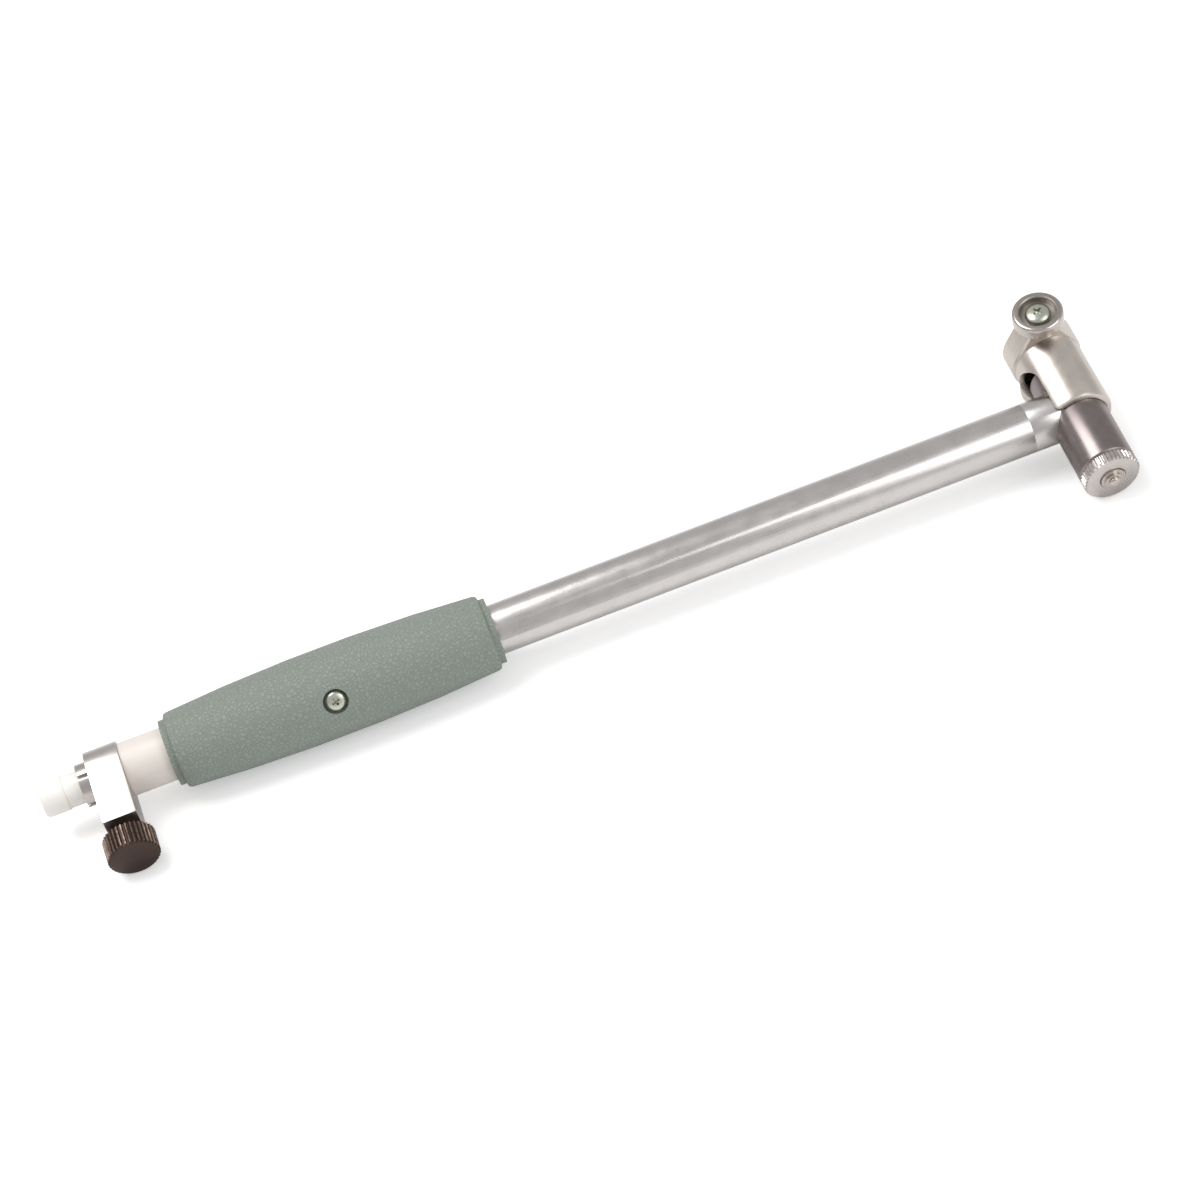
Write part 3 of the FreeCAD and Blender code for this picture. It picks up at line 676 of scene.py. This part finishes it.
class GAUGE_OT_grip(Piece):
    """The two moulded shells of the grip and the pale neck behind them"""
    bl_idname = "gauge.grip"
    bl_label = "Grip and Neck"

    def execute(self, context):
        grain = leather_plastic("grip_plastic", colours().grip)
        for side in ("front", "back"):
            work = node_copy("grip_" + side, sizes().grip_round, 25, 3)
            finished(work, "grip_shell_" + side, "frame", "grip_" + side, grain, crease=50)
        pale = smooth_plastic("pale_plastic", colours().neck, 0.42)
        work = node_copy("neck_sleeve", NECK_EDGE)
        finished(work, "pale_neck", "frame", "neck_sleeve", pale)
        return {"FINISHED"}


class GAUGE_OT_clamp(Piece):
    """The collet, its clamp ring, knob and pad, and the plug"""
    bl_idname = "gauge.clamp"
    bl_label = "Clamp and Plug"

    def execute(self, context):
        ring = drawn_steel("ring_steel", colours().bright, 0.34, TO_HEAD)
        work = node_copy("clamp_ring", RING_EDGE, segments=3)
        finished(work, "ring_clamp", "frame", "clamp_ring", ring)
        # The collet uses the same turned steel as the ring and nut, made 0.9 times as bright: painted shade.
        collet = turned_steel("collet_steel", shade(colours().bright, 0.9), 0.3, TO_HEAD)
        work = node_copy("collet", COLLET_EDGE)
        finished(work, "slotted_collet", "frame", "collet", collet)
        dress("clamp_pad", turned_steel("pad_bronze", colours().bronze, 0.4, TO_ANVIL, ON_RING))
        milky = smooth_plastic("milky_plastic", colours().plug, 0.35, 0.5)
        outline = [(230.5, 0), (230.5, 3.95), (251.1, 3.95), (251.1, 4.1), (251.2, 4.2), (256.2, 4.2),
                   (256.55, 4.1), (256.8, 3.9), (256.95, 3.6), (257.0, 3.2), (257.0, 0)]
        finished(turned(outline, TO_HANDLE), "milky_plug", "frame", "plug", milky)
        self.knob()
        return {"FINISHED"}

    def knob(self):
        """The ridged knob on its hub and shank."""
        floor = KNOB_R - sizes().knurl_depth
        outline = [(6.25, 0), (6.25, 1.7), (6.5, KNOB_SHANK_R), (KNOB_HUB_START, KNOB_SHANK_R),
                   (KNOB_HUB_START, KNOB_HUB_R - 0.1), (KNOB_HUB_START + 0.1, KNOB_HUB_R),
                   (KNOB_BASE, KNOB_HUB_R), (KNOB_BASE, floor - 0.2), (KNOB_BASE + 0.3, KNOB_R),
                   (KNOB_FACE - 0.45, KNOB_R), (KNOB_FACE - 0.1, floor), (KNOB_FACE, floor - 0.25),
                   (KNOB_FACE, 0)]
        work = knurled(outline, KNOB_R, sizes().knob_teeth, TO_ANVIL, ON_RING)
        finished(work, "ridged_knob", "knob", "clamp_knob", browned_knob("browned_steel", colours().browned),
                 crease=25)


class GAUGE_OT_stage(Piece):
    """The pale floor, the lamps and the camera"""
    bl_idname = "gauge.stage"
    bl_label = "Stage"

    def execute(self, context):
        self.floor()
        self.world()
        self.lamp("key", place=(-0.35, 0.15, 0.9), width=0.6, power=5.5)
        self.lamp("fill", place=(0.7, -0.6, 0.6), width=0.7, power=3.0)
        self.camera()
        context.scene.view_settings.view_transform = "Standard"
        return {"FINISHED"}

    def floor(self):
        """A wide pale floor, a little lighter where the camera sees it."""
        work = bmesh.new()
        bmesh.ops.create_grid(work, x_segments=1, y_segments=1, size=6.0)
        mesh = bpy.data.meshes.new("floor")
        work.to_mesh(mesh)
        work.free()
        pale = Finish("pale_floor")
        pale.set(Base_Color=(0.93, 0.93, 0.93, 1), Roughness=0.9)
        seen = pale.node("ShaderNodeLightPath", {}, output="Is Camera Ray")
        glow = pale.node("ShaderNodeEmission", {}, Color=(1, 1, 1, 1), Strength=0.35)
        plain = Value(pale, pale.shader.outputs[0])
        lit = pale.node("ShaderNodeAddShader", {}, plain, glow)
        chosen = pale.node("ShaderNodeMixShader", {}, seen, plain, lit)
        pale.tree.links.new(chosen.socket, pale.tree.nodes["Material Output"].inputs["Surface"])
        mesh.materials.append(pale.material)
        floor = bpy.data.objects.new("floor", mesh)
        bpy.context.scene.collection.objects.link(floor)

    def world(self):
        """An even white studio."""
        world = bpy.data.worlds.new("studio")
        world.use_nodes = True
        back = world.node_tree.nodes["Background"]
        back.inputs["Color"].default_value = (1, 1, 1, 1)
        back.inputs["Strength"].default_value = 0.55
        bpy.context.scene.world = world

    def lamp(self, name, place, width, power):
        """A soft square lamp that points at the gauge."""
        data = bpy.data.lights.new(name, "AREA")
        data.shape = "SQUARE"
        data.size = width
        data.energy = power
        lamp = bpy.data.objects.new(name, data)
        lamp.location = place
        lamp.rotation_euler = (-Vector(place)).to_track_quat("-Z", "Y").to_euler()
        bpy.context.scene.collection.objects.link(lamp)

    def camera(self):
        """The view of the whole gauge from above its near side."""
        data = bpy.data.cameras.new("camera")
        data.lens = CAMERA_LENS
        data.sensor_width = 36.0
        data.clip_start = 0.05
        data.clip_end = 20.0
        camera = bpy.data.objects.new("camera", data)
        aimed = Matrix((CAMERA_RIGHT, CAMERA_UP, -CAMERA_AHEAD)).transposed().to_4x4()
        camera.matrix_world = Matrix.Translation(GAUGE @ CAMERA_PLACE) @ GAUGE_TURN @ aimed
        bpy.context.scene.collection.objects.link(camera)
        bpy.context.scene.camera = camera


class GAUGE_PT_panel(bpy.types.Panel):
    """Everything that makes the finished gauge"""
    bl_idname = "GAUGE_PT_panel"
    bl_label = "Bore Gauge"
    bl_space_type = "VIEW_3D"
    bl_region_type = "UI"
    bl_category = "Bore Gauge"

    def draw(self, context):
        for group in (context.scene.bore_gauge_sizes, context.scene.bore_gauge_colours):
            box = self.layout.box()
            for name in group.__annotations__:
                box.prop(group, name)
        for piece in OPERATORS:
            self.layout.operator(piece.bl_idname)


OPERATORS = (GAUGE_OT_head, GAUGE_OT_tube, GAUGE_OT_bridge, GAUGE_OT_wheels, GAUGE_OT_screws, GAUGE_OT_anvil,
             GAUGE_OT_contact, GAUGE_OT_grip, GAUGE_OT_clamp, GAUGE_OT_stage)
CLASSES = (BoreGaugeSizes, BoreGaugeColours) + OPERATORS + (GAUGE_PT_panel,)


def register():
    """Add the classes and the two groups of settings."""
    for item in CLASSES:
        bpy.utils.register_class(item)
    bpy.types.Scene.bore_gauge_sizes = PointerProperty(type=BoreGaugeSizes)
    bpy.types.Scene.bore_gauge_colours = PointerProperty(type=BoreGaugeColours)


def unregister():
    """Take the settings and the classes away again."""
    del bpy.types.Scene.bore_gauge_sizes
    del bpy.types.Scene.bore_gauge_colours
    for item in reversed(CLASSES):
        bpy.utils.unregister_class(item)


def main():
    """Make every piece."""
    register()
    for piece in OPERATORS:
        group, name = piece.bl_idname.split(".")
        getattr(getattr(bpy.ops, group), name)()


if __name__ == "__main__":
    main()
